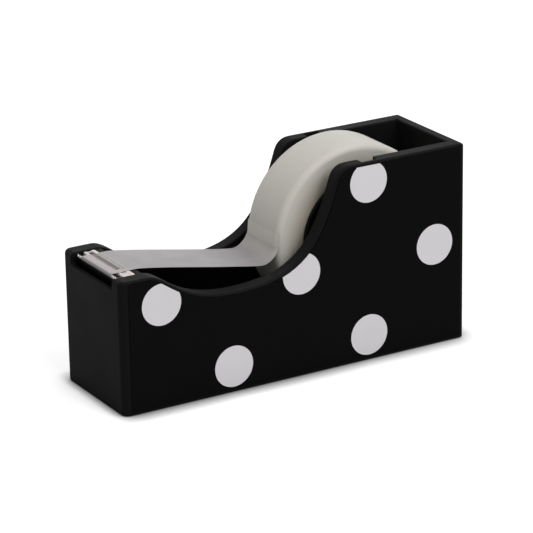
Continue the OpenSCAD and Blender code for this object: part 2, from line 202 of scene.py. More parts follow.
# %% [markdown]
# ## The housing's outside
# The moulding's outer rim is softly rounded, and its upright corners have a larger
# radius. A bevel modifier struggles where such roundings meet, so the outside is
# lofted: rings of the plan outline are stacked up the walls, and the last ones step
# inwards and up along a quarter circle, measured square to the slope. Just under the
# rim two rings step in by a hair, for the shadow line where the printed film ends.

# %% Rings of the plan outline
CORNER_R, REAR_R = 2.4, 1.2
RIM_R, END_R, REAR_RIM_R = 0.72, 1.5, 1.1
SEAM_DEPTH = 0.2
FOOT_R = 0.3
TURN = 8


def corner(middle_x, r, start, top, rim, last_rim):
    """Stations round a corner: (x, y, inward normal, height, slope, rim radius, seam depth)."""
    made = []
    for i in range(TURN + 1):
        a = math.radians(start - 90 * i / TURN)
        made.append((middle_x + r * math.cos(a), WIDTH / 2 - r * (1 - math.sin(a)),
                     (-math.cos(a), -math.sin(a)), top, 0.0, rim + (last_rim - rim) * i / TURN, 0.0))
    return made


def wall(x, top, slope=0.0):
    """A station on the flat side, where the film's seam runs under the rim."""
    return x, WIDTH / 2, (0, -1), top, slope, RIM_R, SEAM_DEPTH


def ring(inset, height):
    """One closed ring: up the +Y side and back along the -Y side."""
    side = []
    for x, y, n, top, slope, r, seam in stations:
        d = inset(r, seam)
        side.append((x + n[0] * d, y + n[1] * d, height(top, slope, r)))
    return [at(x, y, z) for x, y, z in side] + [at(x, -y, z) for x, y, z in reversed(side)]


inner = range(1, len(top_line) - 1)
stations = (corner(CORNER_R, CORNER_R, 180, LANDING.y, END_R, RIM_R)
            + [wall(x, LANDING.y) for x in (2.8, 4.2, 7.0)]
            + [wall(p.x, p.y, slope_at(top_line, i) if i in inner else 0.0)
               for i, p in enumerate(top_line)]
            + [wall(x, REAR_TOP) for x in (90.0, 105.0, LENGTH - 1.9)]
            + corner(LENGTH - REAR_R, REAR_R, 90, REAR_TOP, RIM_R, REAR_RIM_R))
print("stations on a side:", len(stations))

# %% Loft the outside
STEPS = 6
quarter = [math.radians(90 * k / STEPS) for k in range(STEPS + 1)]
rings = [ring(lambda r, seam: min(r, FOOT_R) * (1 - math.cos(a)),
              lambda top, slope, r: BOTTOM + min(r, FOOT_R) * (1 - math.sin(a))) for a in quarter[::-1]]
rings += [ring(lambda r, seam: share * seam,
               lambda top, slope, r: top - (r + below) / math.cos(slope))
          for below, share in ((0.3, 0.0), (0.26, 1.0), (0.04, 1.0))]
rings += [ring(lambda r, seam: r * (1 - math.cos(a)),
               lambda top, slope, r: top - r * (1 - math.sin(a)) / math.cos(slope)) for a in quarter]
housing = loft("housing_moulding", rings, lid=True)
report(housing)

# %% [markdown]
# ## The housing's hollows
# The tool that moulds the real housing has a core for each hollow: the round roll
# well, the front cavity, the axle slots, the cutter seat and the ballast chamber
# below. Here each core is a prism drawn from the side, and a boolean takes it out.

# %% Cores
WELL_R = ROLL_R + 1.9
WELL_W, CAVITY_W, SLOT_W = 28.2, 27.0, 35.0
STEP_X, DECK_Z, FILLET = 50.8, 17.0, 4.0
LIP_T, LIP_Z, SEAT_Z = 1.6, 39.0, 36.0
RIB_X0, RIB_X1, RIB_Z = 8.6, 10.3, 42.7
SLOT_R, SLOT_FLARE, LIP_CORNER = 2.8, 0.8, 1.0
SKY, UNDER = REAR_TOP + 5, -5


def arc(cx, cz, r, a0, a1, n):
    """Points of an arc in a side view, in millimetres."""
    turns = [math.radians(a0 + (a1 - a0) * i / n) for i in range(n + 1)]
    return [(cx + r * math.cos(a), cz + r * math.sin(a)) for a in turns]


def prism(name, outline, y0, y1):
    """A side view pushed across from y0 to y1."""
    return loft(name, [[at(x, y, z) for x, z in outline] for y in (y0, y1)])


def carve(body, core, how="DIFFERENCE"):
    cut = body.modifiers.new("cut", "BOOLEAN")
    cut.operation, cut.solver, cut.object = how, "MANIFOLD", core
    bake(body)
    bpy.data.objects.remove(core)
    return body


print("well radius", round(WELL_R, 2))

# %% Take out the well, the cavity, the slots and the cutter seat
deck_angle = math.degrees(math.asin((AXLE_Z - DECK_Z) / WELL_R))
well_outline = ([(STEP_X, SKY), (STEP_X, DECK_Z)]
                + arc(AXLE_X, AXLE_Z, WELL_R, 180 + deck_angle, 360, 72)
                + [(AXLE_X + WELL_R, SKY)])
cavity_outline = ([(RIB_X1, SKY)] + arc(RIB_X1 + FILLET, DECK_Z + FILLET, FILLET, 180, 270, 8)
                  + [(STEP_X + 0.01, DECK_Z), (STEP_X + 0.01, SKY)])
slot_outline = ([(AXLE_X - SLOT_R, SKY)] + arc(AXLE_X, AXLE_Z, SLOT_R, 180, 360, 20)
                + [(AXLE_X + SLOT_R, SKY)])
seat_outline = [(LIP_T, SKY), (LIP_T, SEAT_Z), (RIB_X0, SEAT_Z), (RIB_X0, RIB_Z),
                (RIB_X1 + 0.01, RIB_Z), (RIB_X1 + 0.01, SKY)]
for label, outline, width in (
        ("well_core", well_outline, WELL_W), ("cavity_core", cavity_outline, CAVITY_W),
        ("slot_core", slot_outline, SLOT_W), ("seat_core", seat_outline, CAVITY_W)):
    carve(housing, prism(label, outline, -width / 2, width / 2))
report(housing)

# %% Open the slots' mouths and the front above the lip
def pillar(name, loop, z0, z1):
    """A closed loop in plan, pushed up from z0 to z1."""
    return loft(name, [[at(x, y, z) for x, y in loop] for z in (z0, z1)])


def rod(name, cx, cy, r, z0, z1, n=40):
    """An upright round core."""
    return pillar(name, arc(cx, cy, r, 0, 360 - 360 / n, n - 1), z0, z1)


for side in (-1, 1):
    wide, narrow = SLOT_R + SLOT_FLARE + 0.1, SLOT_R - 0.1
    inner, deep = side * (WELL_W / 2 - 0.1), side * (WELL_W / 2 + SLOT_FLARE + 0.1)
    corners = ((-wide, inner), (wide, inner), (narrow, deep), (-narrow, deep))
    mouth = [(AXLE_X + dx, y) for dx, y in corners]
    carve(housing, pillar("mouth_core", mouth, AXLE_Z, SKY))
half = CAVITY_W / 2 - LIP_CORNER
front = ([(-half - LIP_CORNER, SKY)] + arc(-half, LIP_Z + LIP_CORNER, LIP_CORNER, 180, 270, 6)
         + arc(half, LIP_Z + LIP_CORNER, LIP_CORNER, 270, 360, 6) + [(half + LIP_CORNER, SKY)])
carve(housing, loft("front_core", [[at(x, y, z) for y, z in front] for x in (-5, LIP_T + 0.01)]))
report(housing)

# %% Take out the ballast chamber and the base recess
SHELL_T, COVER_TOP, CHAMBER_W = 2.4, span("base_cover")[1].z, 33.0
SCREWS = [(x, y) for x in (6.5, LENGTH - 6.5) for y in (-12, 12)]
PEGS, PEG_R = [(6.4, y) for y in (-9, 9)], 1.1
CHAMBER_R = WELL_R + SHELL_T
rear_z = AXLE_Z - WELL_R / 3
rear_turn = math.degrees(math.asin((AXLE_Z - rear_z) / CHAMBER_R))
front_turn = math.degrees(math.asin((AXLE_Z - DECK_Z + SHELL_T) / CHAMBER_R))
chamber_outline = ([(SHELL_T, UNDER), (LENGTH - SHELL_T, UNDER), (LENGTH - SHELL_T, rear_z)]
                   + arc(AXLE_X, AXLE_Z, CHAMBER_R, -rear_turn, front_turn - 180, 60)
                   + [(RIB_X1 - SHELL_T, DECK_Z - SHELL_T), (RIB_X1 - SHELL_T, SEAT_Z - SHELL_T),
                      (SHELL_T, SEAT_Z - SHELL_T)])
chamber = prism("chamber_core", chamber_outline, -CHAMBER_W / 2, CHAMBER_W / 2)
for x, y in SCREWS:
    carve(chamber, rod("boss", x, y, 3.0, COVER_TOP, AXLE_Z))
carve(housing, chamber)

COVER_RIM, COVER_FRONT_R, COVER_REAR_R = 1.65, 1.575, 0.5
side, rear = WIDTH / 2 - COVER_RIM, LENGTH - COVER_RIM
loop = []
for turn, r, cx in ((0, COVER_REAR_R, rear - COVER_REAR_R),
                    (90, COVER_FRONT_R, COVER_RIM + COVER_FRONT_R)):
    loop += arc(cx, side - r, r, turn, turn + 90, 8)
loop += [(x, -y) for x, y in reversed(loop)]
carve(housing, pillar("recess_core", loop, UNDER, COVER_TOP))
for x, y in SCREWS:
    carve(housing, rod("screw_core", x, y, 1.25, UNDER, BOTTOM + 10, 24))
for x, y in PEGS:
    carve(housing, rod("peg_core", x, y, PEG_R + 0.05, 32, 37, 24))
report(housing)

# %% [markdown]
# ## Softening the rim's inner edges
# No moulded edge is a razor edge: the real cores are rounded where they meet the rim.
# A bevel would stumble over the many small edges that the cores have cut, so the
# rounding is swept. One small section, a square corner with a quarter circle taken
# off it, follows the rim on each side and is taken out of the wall.

# %% Round the inner edges of the rim
SOFT_R = 0.5


def rim_height(x):
    """Height and slope of the rim at a distance from the front face."""
    if x <= top_line[0].x:
        return LANDING.y, 0.0
    for i, (a, b) in enumerate(zip(top_line, top_line[1:])):
        if a.x <= x <= b.x:
            return a.y + (b.y - a.y) * (x - a.x) / (b.x - a.x), slope_at(top_line, i)
    return REAR_TOP, 0.0


def soft_section(slope):
    """A fillet's waste: (into the wall, above the rim) with the wall's corner at the origin."""
    up = SOFT_R / math.cos(slope)
    fillet = [(SOFT_R * (1 - math.cos(a)), -up * (1 - math.sin(a)))
              for a in (math.radians(90 * k / 5) for k in range(6))]
    return [(-0.3, -up)] + fillet + [(SOFT_R, 0.6), (-0.3, 0.6)]


def soft_core(wall, x0, x1):
    """The waste along one side wall, whose inner face is at y = wall, from x0 to x1."""
    side, rings = math.copysign(1, wall), []
    for x in sorted({x0, x1} | {p.x for p in top_line if x0 < p.x < x1}):
        z, slope = rim_height(x)
        rings.append([at(x, wall + side * d, z + h) for d, h in soft_section(slope)])
    return loft("soft_core", rings)


for side in (-1, 1):
    carve(housing, soft_core(side * CAVITY_W / 2, -1.0, STEP_X))
    carve(housing, soft_core(side * WELL_W / 2, STEP_X + 0.02, AXLE_X + WELL_R + SOFT_R))
rear = [(AXLE_X + WELL_R + d, REAR_TOP + h) for d, h in soft_section(0.0)]
carve(housing, prism("soft_core", rear, -WELL_W / 2 - SOFT_R, WELL_W / 2 + SOFT_R))


def even_normals(obj):
    weighted = obj.modifiers.new("normals", "WEIGHTED_NORMAL")
    weighted.keep_sharp = True
    weighted.weight = 100
    bake(obj)


smooth(housing, 40)
even_normals(housing)
report(housing)

# %% [markdown]
# ## The roll of tape
# A wound roll is hundreds of thin turns. From outside they show as fine rings on its
# two flat sides, because no turn lies exactly flush with the next. Geometry Nodes
# suit such a rule: half the section is one closed line, its side points are nudged
# at random from a fixed seed, and the line is swept round the axle.

# %% Section of the roll, as (distance from its rim, across)
CORE_R = 14.05
EDGE_R = 2.2
TURN_PITCH = 0.3
half, flat_r = TAPE_W / 2, ROLL_R - EDGE_R
count = int((flat_r - CORE_R) / TURN_PITCH)
flat = [(CORE_R + (flat_r - CORE_R) * i / count, half) for i in range(count + 1)]
edge = [(flat_r + EDGE_R * math.sin(a), half - EDGE_R * (1 - math.cos(a)))
        for a in (math.radians(turn) for turn in range(15, 91, 15))]
loop = flat + edge
section = [(r - ROLL_R, y) for r, y in reversed(loop + [(r, -y) for r, y in reversed(loop)])]
print("points in the section:", len(section))

# %% Helpers for node trees
def plug(tree, target, inputs):
    """Sets a node's inputs. A socket is linked, a node gives its first output, the rest are values."""
    for key, value in inputs.items():
        if isinstance(value, bpy.types.Node):
            value = value.outputs[0]
        if isinstance(value, bpy.types.NodeSocket):
            tree.links.new(value, target.inputs[key])
        else:
            target.inputs[key].default_value = value
    return target


def node(tree, kind, inputs=None, **settings):
    """Adds a node, sets its properties, then its inputs."""
    new = tree.nodes.new(kind)
    for key, value in settings.items():
        setattr(new, key, value)
    return plug(tree, new, inputs or {})


def calc(tree, operation, *values, clamp=False):
    """A maths node on sockets, nodes or numbers."""
    return node(tree, "ShaderNodeMath", dict(enumerate(values)), operation=operation, use_clamp=clamp)


def times(tree, product, *values):
    """The product of its values."""
    for value in values:
        product = calc(tree, "MULTIPLY", product, value)
    return product


def axes(tree, vector):
    """The X, Y and Z outputs of a vector."""
    return node(tree, "ShaderNodeSeparateXYZ", {0: vector}).outputs


def joint(tree, **parts):
    """A vector from its X, Y and Z."""
    return node(tree, "ShaderNodeCombineXYZ", parts)


def moved(tree, geometry, **settings):
    """Geometry with a Translation, a Rotation or a Scale."""
    return node(tree, "GeometryNodeTransform", {"Geometry": geometry, **settings})


def hand_over(tree, geometry, material, result):
    """Ends a tree: makes instances real and sets the material."""
    real = node(tree, "GeometryNodeRealizeInstances", {0: geometry})
    done = node(tree, "GeometryNodeSetMaterial", {"Geometry": real, "Material": material})
    plug(tree, result, {0: done})
    return tree


def open_tree(name, kind, sizes, outputs, gives="Float"):
    """A node tree with named inputs, as (name, type, value), and named outputs of one type."""
    tree = bpy.data.node_groups.new(name, kind)
    for label, socket, value in sizes:
        made = tree.interface.new_socket(label, in_out="INPUT", socket_type="NodeSocket" + socket)
        if value is not None:
            made.default_value = value
    for label in outputs:
        tree.interface.new_socket(label, in_out="OUTPUT", socket_type="NodeSocket" + gives)
    return tree, tree.nodes.new("NodeGroupInput").outputs, tree.nodes.new("NodeGroupOutput")


def run_tree(obj, tree, **values):
    """Puts the tree on the object, sets its inputs by their identifiers, and bakes."""
    made = obj.modifiers.new(tree.name, "NODES")
    made.node_group = tree
    for item in tree.interface.items_tree:
        key = item.name.replace(" ", "_").lower()
        if item.in_out == "INPUT" and key in values:
            made[item.identifier] = values[key]
    return bake(obj)


print("tree helpers ready")

# %% The tree that winds the roll
def winding_tree():
    tree, given, result = open_tree("wound_roll", "GeometryNodeTree", (
        ("Section", "Geometry", None), ("Outer radius", "Float", ROLL_R * MM),
        ("Side reach", "Float", TAPE_W / 2 * MM), ("Unevenness", "Float", 0.04 * MM),
        ("Steps round", "Int", 160), ("Seed", "Int", 7), ("Axle place", "Vector", None),
        ("Material", "Material", None)), ("Geometry",), "Geometry")
    place = axes(tree, node(tree, "GeometryNodeInputPosition"))
    on_side = calc(tree, "COMPARE", calc(tree, "ABSOLUTE", place["Y"]), given["Side reach"], 0.000005)
    chance = node(tree, "FunctionNodeRandomValue", {2: 0.0, 3: 1.0, "Seed": given["Seed"]},
                  data_type="FLOAT").outputs[1]
    nudge = times(tree, chance, calc(tree, "SIGN", place["Y"]), given["Unevenness"], -1.0)
    uneven = node(tree, "GeometryNodeSetPosition", {
        "Geometry": given["Section"], "Selection": on_side, "Offset": joint(tree, Y=nudge)})
    line = node(tree, "GeometryNodeMeshToCurve", {"Mesh": uneven})
    circle = node(tree, "GeometryNodeCurvePrimitiveCircle", {
        "Resolution": given["Steps round"], "Radius": given["Outer radius"]})
    swept = node(tree, "GeometryNodeCurveToMesh", {"Curve": circle, "Profile Curve": line})
    placed = moved(tree, swept, Translation=given["Axle place"], Rotation=(math.radians(90), 0, 0))
    return hand_over(tree, placed, given["Material"], result)


print("winding tree ready")

# %% [markdown]
# ## Finishes that several materials share
# Real surfaces differ less in colour than in their small faults. Five node groups
# hold these faults: moulded grain, rubbed edges, fine scratches, settled dust and
# brushed lines. The dust group also paints light: what faces up turns paler, as a
# painted sheen from above. Each is made once, and every material gives it its own
# sizes. The groups put out only masks and heights; the shader stays in the material.

# %% Group helpers
def object_place(tree):
    return node(tree, "ShaderNodeTexCoord").outputs["Object"]


def noise(tree, where, scale, detail=2.0, rough=0.5):
    return node(tree, "ShaderNodeTexNoise", {
        "Vector": where, "Scale": scale, "Detail": detail, "Roughness": rough})


def spread(tree, value, low, high, to_low=0.0, to_high=1.0):
    """Moves a value from one range to another, and keeps it inside."""
    return node(tree, "ShaderNodeMapRange", {
        "Value": value, "From Min": low, "From Max": high, "To Min": to_low, "To Max": to_high})


def on_vectors(tree, operation, *values):
    """A vector maths node. Gives its outputs."""
    return node(tree, "ShaderNodeVectorMath", dict(enumerate(values)), operation=operation).outputs


def shader_group(name, sizes, outputs):
    sizes = [(label, "Float", value) for label, value in sizes]
    return open_tree(name, "ShaderNodeTree", sizes, outputs)


def give(tree, result, **values):
    plug(tree, result, values)
    return tree


def moulded_grain():
    """Spark-eroded texture that the mould leaves on plastic."""
    tree, given, result = shader_group("moulded_grain", (("Scale", 2600.0), ("Coarse share", 0.35)),
                                       ("Height", "Tone"))
    where = object_place(tree)
    fine = noise(tree, where, given["Scale"], 3.0, 0.6)
    pits = node(tree, "ShaderNodeTexVoronoi", {"Vector": where, "Scale": given["Scale"]})
    mixed = node(tree, "ShaderNodeMix", {0: given["Coarse share"], 2: fine, 3: pits}, data_type="FLOAT")
    broad = noise(tree, where, calc(tree, "DIVIDE", given["Scale"], 55.0), 3.0, 0.55)
    return give(tree, result, Height=mixed, Tone=broad)


def rubbed_edges():
    """Where hands and desks have rubbed the edges: the normal turns within a small width."""
    tree, given, result = shader_group("rubbed_edges", (("Width", 0.6 * MM), ("Breakup", 260.0)),
                                       ("Mask",))
    turned = node(tree, "ShaderNodeBevel", {"Radius": given["Width"]}, samples=6)
    true = node(tree, "ShaderNodeNewGeometry").outputs["Normal"]
    edge = spread(tree, on_vectors(tree, "DOT_PRODUCT", turned, true)["Value"], 0.995, 0.86)
    patches = spread(tree, noise(tree, object_place(tree), given["Breakup"], 4.0, 0.65), 0.38, 0.62)
    return give(tree, result, Mask=times(tree, edge, patches))


def fine_scratches():
    """Two crossing sets of hairline scratches, far longer than wide."""
    tree, given, result = shader_group("fine_scratches", (("Scale", 420.0), ("Amount", 0.5)), ("Mask",))
    sets = []
    for turn, stretch in ((0.6, 26.0), (-0.9, 34.0)):
        laid = node(tree, "ShaderNodeMapping", {
            "Vector": object_place(tree), "Rotation": (0.0, turn, turn),
            "Scale": (1.0, stretch, 1.0 + stretch / 9)})
        line = noise(tree, laid, given["Scale"], 1.0, 0.4)
        sets.append(spread(tree, calc(tree, "ABSOLUTE", calc(tree, "SUBTRACT", line, 0.5)), 0.012, 0.0))
    both = calc(tree, "MAXIMUM", *sets)
    worn = spread(tree, noise(tree, object_place(tree), 45.0, 2.0), 0.45, 0.65)
    return give(tree, result, Mask=times(tree, both, worn, given["Amount"]))


def settled_dust():
    """Dust on what faces up, in patches; it also paints the tops paler, as painted light from above."""
    tree, given, result = shader_group("settled_dust", (("Scale", 900.0), ("Amount", 0.3)), ("Mask",))
    normal = node(tree, "ShaderNodeNewGeometry").outputs["Normal"]
    flat = spread(tree, axes(tree, normal)["Z"], 0.55, 0.95)
    specks = spread(tree, noise(tree, object_place(tree), given["Scale"], 4.0, 0.7), 0.52, 0.75)
    drift = spread(tree, noise(tree, object_place(tree), 60.0, 2.0), 0.35, 0.7)
    return give(tree, result, Mask=times(tree, flat, specks, drift, given["Amount"]))


def brushed_lines():
    """Lines that a brush or a grinding belt leaves, along Y."""
    tree, given, result = shader_group("brushed_lines", (("Across", 5200.0), ("Along", 90.0)),
                                       ("Height", "Tone"))
    scale = joint(tree, X=given["Across"], Y=given["Along"], Z=given["Across"])
    laid = on_vectors(tree, "MULTIPLY", object_place(tree), scale)[0]
    return give(tree, result, Height=noise(tree, laid, 1.0, 3.0, 0.6),
                Tone=noise(tree, object_place(tree), 140.0, 3.0, 0.6))


GRAIN, RUB, SCRATCH = moulded_grain(), rubbed_edges(), fine_scratches()
DUST_AND_TOP_SHEEN, BRUSH = settled_dust(), brushed_lines()
print("shared groups:", [g.name for g in (GRAIN, RUB, SCRATCH, DUST_AND_TOP_SHEEN, BRUSH)])

# %% Material helpers
def grey(level, warm=0.0):
    return (level * (1 + warm), level, level * (1 - warm), 1.0)


def new_material(name, **constants):
    """A material with one Principled shader, its constants set on the shader's sockets."""
    made = bpy.data.materials.new(name)
    made.use_nodes = True
    tree = made.node_tree
    shader = tree.nodes["Principled BSDF"]
    plug(tree, shader, {key.replace("_", " "): value for key, value in constants.items()})
    return made, tree, shader


def use(tree, group, **values):
    placed = node(tree, "ShaderNodeGroup", node_tree=group)
    sizes = {key.replace("_", " ").capitalize(): value for key, value in values.items()}
    return plug(tree, placed, sizes).outputs


def tint(tree, share, a, b):
    return node(tree, "ShaderNodeMix", {0: share, 6: a, 7: b}, data_type="RGBA").outputs[2]


def wire(tree, shader, colour, rough, height, depth):
    """Wires a finish into the shader: its colour, its roughness and a bump that deep."""
    relief = node(tree, "ShaderNodeBump", {"Strength": 1.0, "Distance": depth, "Height": height})
    plug(tree, shader, {"Base Color": colour, "Roughness": rough, "Normal": relief})


def finish(material, *names):
    """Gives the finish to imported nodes, through their material slots."""
    for name in names:
        for slot in NODES[name].material_slots:
            slot.material = material


print("material helpers ready")

# %% [markdown]
# ## Black moulded plastic
# The housing, the hub and the base cover are moulded in black. The housing has a
# fine grain, edges that are rubbed slightly paler, a few hairline scratches and a
# little dust in the open top. Its dust amount is raised so that its tops turn paler,
# which is painted light from above. It is deep black with little gloss, so the
# specular level is low.

# %% Plastic materials
def black_plastic(name, level, gloss, specular, grain_scale, grain_depth, wear=0.5, dust_and_sheen=0.25):
    made, tree, shader = new_material(name, Specular_IOR_Level=specular)
    grain = use(tree, GRAIN, scale=grain_scale)
    lines = use(tree, SCRATCH, amount=wear)["Mask"]
    dust_and_sheen_mask = use(tree, DUST_AND_TOP_SHEEN, amount=dust_and_sheen)["Mask"]
    body = tint(tree, grain["Tone"], grey(level * 0.88), grey(level * 1.12))
    worn = tint(tree, times(tree, use(tree, RUB)["Mask"], wear), body, grey(level * 2.6))
    cut = tint(tree, times(tree, lines, 0.5), worn, grey(level * 2.2))
    patchy = spread(tree, grain["Tone"], 0.3, 0.7, gloss - 0.05, gloss + 0.06)
    # The up-facing mask lightens the colour: partly real dust, partly a painted sheen of light from
    # above.
    wire(tree, shader, tint(tree, dust_and_sheen_mask, cut, grey(0.06, 0.06)),
         calc(tree, "ADD", patchy, times(tree, dust_and_sheen_mask, 0.3), clamp=True),
         calc(tree, "SUBTRACT", grain["Height"], times(tree, lines, 0.6)), grain_depth)
    return made


# The housing's larger dust amount also paints its up-facing tops paler, as painted light.
housing_plastic = black_plastic("housing_plastic", 0.008, 0.48, 0.035, 2600.0, 0.00003, dust_and_sheen=0.45)
hub_plastic = black_plastic("hub_plastic", 0.004, 0.38, 0.05, 3600.0, 0.00001, wear=0.3, dust_and_sheen=0.1)
cover_plastic = black_plastic("cover_plastic", 0.012, 0.6, 0.1, 1500.0, 0.00006, wear=0.8, dust_and_sheen=0.0)
finish(hub_plastic, "hub_wheel", "hub_cap")
finish(cover_plastic, "base_cover")
print("plastics ready")

# %% [markdown]
# ## The printed film
# The sides carry a thin matt film, printed black with white dots. It is darker and
# flatter than the bare moulding round it. The dots are printed ink, so they have the
# same fine surface as the black.

# %% Film materials
def film_material(name, dark, light, gloss, specular):
    made, tree, shader = new_material(name, Specular_IOR_Level=specular)
    grain = use(tree, GRAIN, scale=4200.0, coarse_share=0.15)
    lines = use(tree, SCRATCH, amount=0.35)["Mask"]
    wire(tree, shader, tint(tree, grain["Tone"], dark, light),
         spread(tree, grain["Tone"], 0.3, 0.7, gloss - 0.04, gloss + 0.05),
         calc(tree, "SUBTRACT", grain["Height"], lines), 0.000012)
    return made


film_black = film_material("film_black", grey(0.0042), grey(0.0056), 0.5, 0.02)
dot_white = film_material("dot_white", (0.81, 0.78, 0.815, 1), (0.85, 0.82, 0.855, 1), 0.5, 0.1)
finish(film_black, "side_film_left", "side_film_right")
finish(dot_white, "dots_left", "dots_right")
print("films ready")

# %% [markdown]
# ## Metal
# The blade is thin stamped steel and the tape rest a satin bar, both brushed along
# their length. Below its ground teeth the blade is painted nearly black, which is
# painted shade, so only the teeth are bright. The bottom of the rest's groove is
# painted darker too, also as painted shade. Both masks are read from the place, so
# no seam shows. The axle and the screws are turned steel, and the ballast is rough
# cast iron that nobody sees.

# %% Metal materials
def brushed_metal(name, dull, bright, rough, across=5200.0, along=90.0, metallic=1.0, depth=0.000012,
                  dark=None):
    made, tree, shader = new_material(name, Metallic=metallic)
    brush = use(tree, BRUSH, across=across, along=along)
    lines = use(tree, SCRATCH, amount=0.7)["Mask"]
    tone = times(tree, calc(tree, "ADD", brush["Height"], brush["Tone"]), 0.5)
    colour = tint(tree, spread(tree, tone, 0.35, 0.65), dull, bright)
    # dark, where given, is a mask of painted shade that pulls the colour towards near black.
    if dark:
        colour = tint(tree, dark(tree), colour, grey(0.02))
    wire(tree, shader, colour, spread(tree, brush["Height"], 0.3, 0.7, rough - 0.06, rough + 0.08),
         calc(tree, "SUBTRACT", brush["Height"], times(tree, lines, 0.5)), depth)
    return made


def painted_shade_below_teeth(tree):
    """Painted shade on the blade below its ground teeth, which stay bright."""
    return spread(tree, axes(tree, object_place(tree))["Z"], 41.7 * MM, 41.9 * MM, 1.0, 0.0)


def groove_painted_shade(tree):
    """Painted shade at the bottom of the rest's groove."""
    place = axes(tree, object_place(tree))
    off_middle = calc(tree, "ABSOLUTE", calc(tree, "SUBTRACT", place["X"], at(6.05, 0, 0).x))
    return times(tree, spread(tree, off_middle, 0.9 * MM, 1.0 * MM, 1.0, 0.0),
                 spread(tree, place["Z"], 42.45 * MM, 42.6 * MM, 0.95, 0.0))


# The blade is painted nearly black below its teeth, as painted shade.
blade_steel = brushed_metal("blade_steel", grey(0.16, 0.03), grey(0.26, 0.03), 0.32, dark=painted_shade_below_teeth)
# The bottom of the rest's groove is painted dark, as painted shade.
rest_metal = brushed_metal("rest_metal", (0.57, 0.535, 0.52, 1), (0.7, 0.66, 0.64, 1), 0.5,
                           dark=groove_painted_shade)
axle_steel = brushed_metal("axle_steel", grey(0.42), grey(0.52), 0.28, across=900.0, along=6000.0)
screw_steel = brushed_metal("screw_steel", grey(0.36), grey(0.46), 0.34, across=2400.0, along=2400.0)
ballast_iron = brushed_metal("ballast_iron", grey(0.06, 0.08), grey(0.11, 0.04), 0.72, across=700.0,
                             along=700.0, metallic=0.7, depth=0.0002)
finish(axle_steel, "axle_pin")
finish(screw_steel, "cover_screws")
finish(ballast_iron, "ballast")
print("metals ready")

# %% [markdown]
# ## Rubber and card
# The feet are soft black rubber with a dusty bloom. The core is a spiral-wound card
# tube, whose two plies show as slanting bands.

# %% Rubber and card materials
def foot_material():
    made, tree, shader = new_material("foot_rubber", Specular_IOR_Level=0.2)
    grain = use(tree, GRAIN, scale=1400.0, coarse_share=0.6)
    wire(tree, shader, tint(tree, grain["Tone"], grey(0.014), grey(0.03, 0.05)),
         spread(tree, grain["Tone"], 0.3, 0.7, 0.72, 0.9), grain["Height"], 0.00005)
    return made


def card_material():
    made, tree, shader = new_material("core_card", Specular_IOR_Level=0.25)
    place = axes(tree, object_place(tree))
    across = calc(tree, "SUBTRACT", place["X"], at(AXLE_X, 0, 0).x)
    up = calc(tree, "SUBTRACT", place["Z"], at(0, 0, AXLE_Z).z)
    turn = calc(tree, "DIVIDE", calc(tree, "ARCTAN2", up, across), 2 * math.pi)
    band = calc(tree, "FRACT", calc(tree, "ADD", turn, times(tree, place["Y"], 30.0)))
    seam = spread(tree, calc(tree, "ABSOLUTE", calc(tree, "SUBTRACT", band, 0.5)), 0.0, 0.02)
    fibre = use(tree, GRAIN, scale=1900.0, coarse_share=0.1)
    paper = tint(tree, fibre["Tone"], (0.5, 0.43, 0.33, 1), (0.62, 0.55, 0.44, 1))
    wire(tree, shader, tint(tree, seam, (0.33, 0.27, 0.2, 1), paper),
         spread(tree, fibre["Height"], 0.2, 0.8, 0.75, 0.9), fibre["Height"], 0.00004)
    return made


finish(foot_material(), "foot_front_left", "foot_front_right", "foot_rear_left", "foot_rear_right")
finish(card_material(), "tape_core")
print("rubber and card ready")

# %% [markdown]
# ## Tape
# Matt tape is milky. Wound up it is cream and nearly opaque, a little darker towards
# the core, with fine rings on its sides. The free strip is one layer, so what lies
# behind shows through. Three attributes of its mesh say where it is milky, where it
# is scuffed and where it has joined the roll and takes on the roll's colour.

# %% Tape materials
def roll_material():
    made, tree, shader = new_material("tape_film", Specular_IOR_Level=0.3, Subsurface_Weight=0.4,
                                      Subsurface_Scale=0.002, Subsurface_Radius=(1.0, 0.95, 0.85))
    place = on_vectors(tree, "SUBTRACT", object_place(tree), at(AXLE_X, 0, AXLE_Z))[0]
    flat = on_vectors(tree, "MULTIPLY", place, (1.0, 0.0, 1.0))[0]
    radius = on_vectors(tree, "LENGTH", flat)["Value"]
    ring = node(tree, "ShaderNodeTexNoise", {"W": radius, "Scale": 5200.0, "Detail": 2.0},
                noise_dimensions="1D")
    cloud = noise(tree, object_place(tree), 85.0, 3.0)
    depth = spread(tree, radius, 18.5 * MM, 25.8 * MM)
    cream = tint(tree, depth, (0.44, 0.385, 0.285, 1), (0.695, 0.67, 0.608, 1))
    tone = calc(tree, "ADD", times(tree, ring, 0.5), times(tree, cloud, 0.5))
    wire(tree, shader, tint(tree, spread(tree, tone, 0.3, 0.7, 0.0, 0.16), cream, grey(0.55, 0.05)),
         spread(tree, tone, 0.3, 0.7, 0.34, 0.46), ring, 0.000012)
    return made


